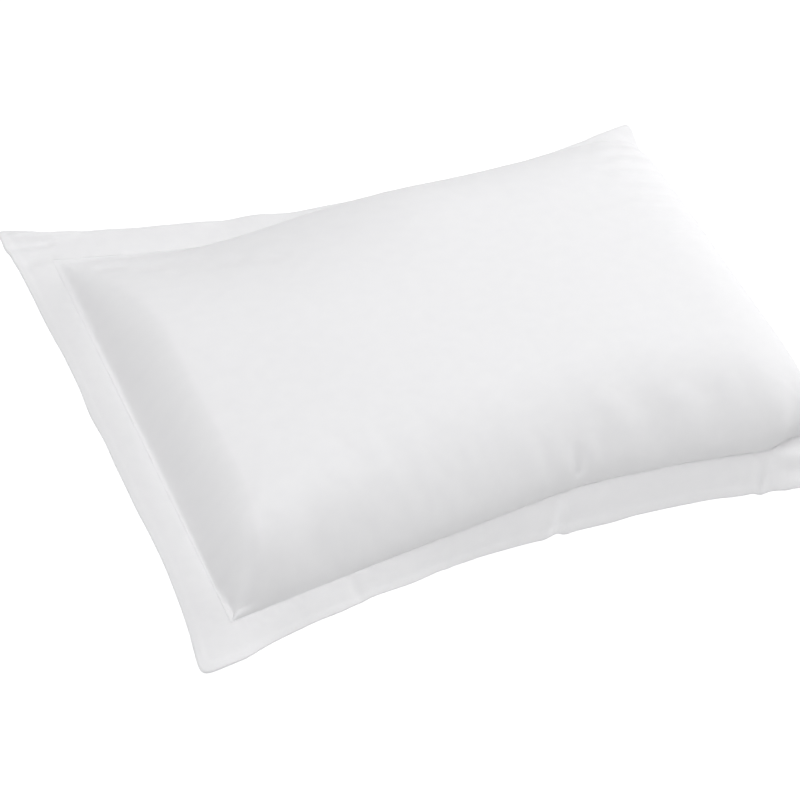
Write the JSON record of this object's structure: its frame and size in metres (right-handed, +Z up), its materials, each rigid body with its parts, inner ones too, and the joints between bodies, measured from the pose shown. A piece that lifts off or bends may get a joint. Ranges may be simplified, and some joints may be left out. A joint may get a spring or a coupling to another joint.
{
  "type": "bed pillow",
  "caption": "Plump rectangular bed pillow in a pillowcase with a flat stitched border and a lapped flap that closes its mouth.",
  "frame": {"origin": "under the middle of the pillow, on the level surface it lies on", "axes": "+X along the long side towards the mouth of the case, +Y along the short side, +Z up"},
  "size_m": [0.84, 0.586, 0.1448],
  "materials": {
    "percale": "smooth white cotton percale, matt",
    "ticking": "tightly woven undyed cotton, matt",
    "fibre": "loose polyester fibre",
    "thread": "twisted white cotton, slight sheen",
    "label_tape": "white satin tape, blank"
  },
  "bodies": {
    "pillow": {"case_front": "percale", "case_back": "percale", "border_needle_thread": "thread", "border_bobbin_thread": "thread", "edge_seam_thread": "thread", "mouth_hem_thread": "thread", "bar_tack_front": "thread", "bar_tack_back": "thread", "case_label": "label_tape", "ticking_top": "ticking", "ticking_bottom": "ticking", "ticking_piping": "ticking", "ticking_seam_thread": "thread", "closing_stitches": "thread", "ticking_label": "label_tape", "fill_core": "fibre", "fill_top_layer": "fibre", "fill_bottom_layer": "fibre"},
    "flap": {"case_flap": "percale", "flap_hem_thread": "thread"}
  },
  "joints": [
    {"name": "flap_turn", "type": "hinge", "parent": "pillow", "child": "flap", "pos_m": [0.3668, 0, 0.0522], "axis": [0, -1, 0], "range_deg": [0, 145]}
  ]
}
